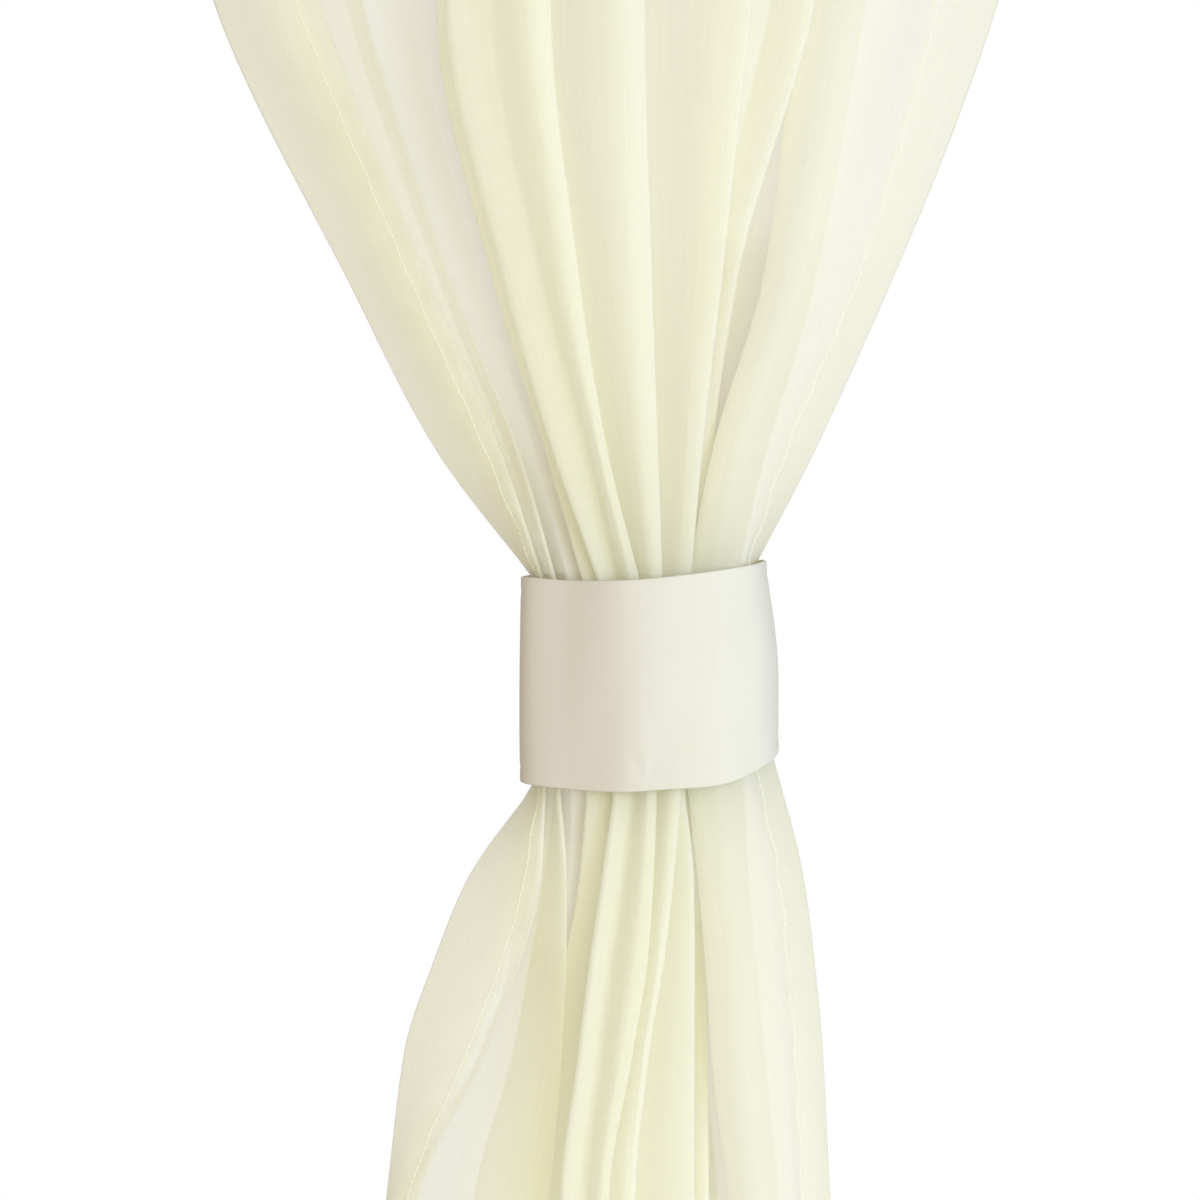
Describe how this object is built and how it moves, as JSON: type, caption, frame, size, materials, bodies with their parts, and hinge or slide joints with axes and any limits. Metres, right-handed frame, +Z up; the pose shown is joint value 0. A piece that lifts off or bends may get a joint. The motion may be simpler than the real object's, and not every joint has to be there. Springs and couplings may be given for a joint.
{
  "type": "sheer curtain panel with tieback",
  "caption": "Full-length sheer voile curtain panel, softly gathered at its middle by a flat cloth tieback, flaring to the heading and the hem.",
  "frame": {"origin": "middle of the panel's top edge, where its rod pocket hangs", "axes": "+Z up, +X to the viewer's right along the top edge, +Y away from the viewer towards the window"},
  "size_m": [0.5907, 0.0914, 2.134],
  "materials": {
    "sheer_voile": "fine plain-weave ivory voile, translucent, matt with a faint silky sheen",
    "tieback_cloth": "doubled ivory cloth, matt, folded along both edges"
  },
  "bodies": {
    "root": {"curtain_panel": "sheer_voile", "tieback_band": "tieback_cloth"}
  },
  "joints": []
}
